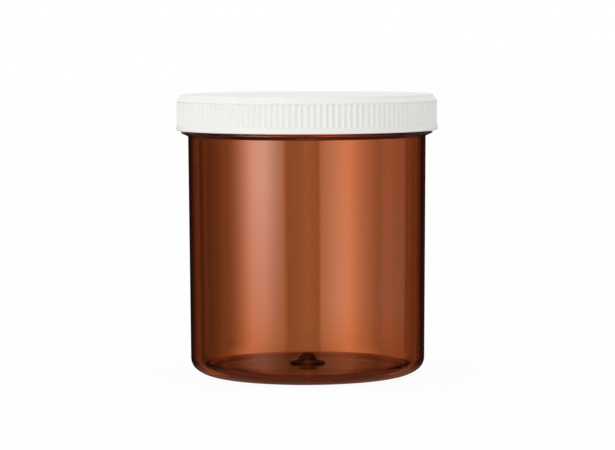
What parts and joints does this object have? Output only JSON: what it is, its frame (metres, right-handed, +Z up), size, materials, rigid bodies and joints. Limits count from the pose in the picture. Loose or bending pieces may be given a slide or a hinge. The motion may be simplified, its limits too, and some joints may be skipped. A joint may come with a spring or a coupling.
{
  "type": "wide-mouth screw-cap dispensing jar",
  "caption": "Straight-sided clear amber plastic dispensing jar with a white ribbed screw cap and a foam wad that seals on the rim.",
  "frame": {"origin": "centre of the jar's base, in the plane that it stands on", "axes": "+Z up along the jar's axis and the cap's thread; +X and +Y are alike, because the jar is round"},
  "size_m": [0.093, 0.093, 0.0997],
  "materials": {
    "amber_plastic": "clear gloss, moulded",
    "foam_wad": "soft closed-cell foam",
    "white_plastic": "satin, moulded"
  },
  "bodies": {
    "jar": {"jar_body": "amber_plastic"},
    "liner": {"cap_liner": "foam_wad"},
    "cap": {"screw_cap": "white_plastic"}
  },
  "joints": [
    {"name": "cap_lift", "type": "slide", "parent": "jar", "child": "liner", "axis": [0, 0, 1], "range_m": [0, 0.01524]},
    {"name": "cap_turn", "type": "hinge", "parent": "liner", "child": "cap", "pos_m": [0, 0, 0.09], "axis": [0, 0, 1], "range_deg": [0, 1080]}
  ],
  "couplings": [
    {"joint": "cap_lift", "follows": "cap_turn", "m_per_rad": 0.00080851}
  ]
}
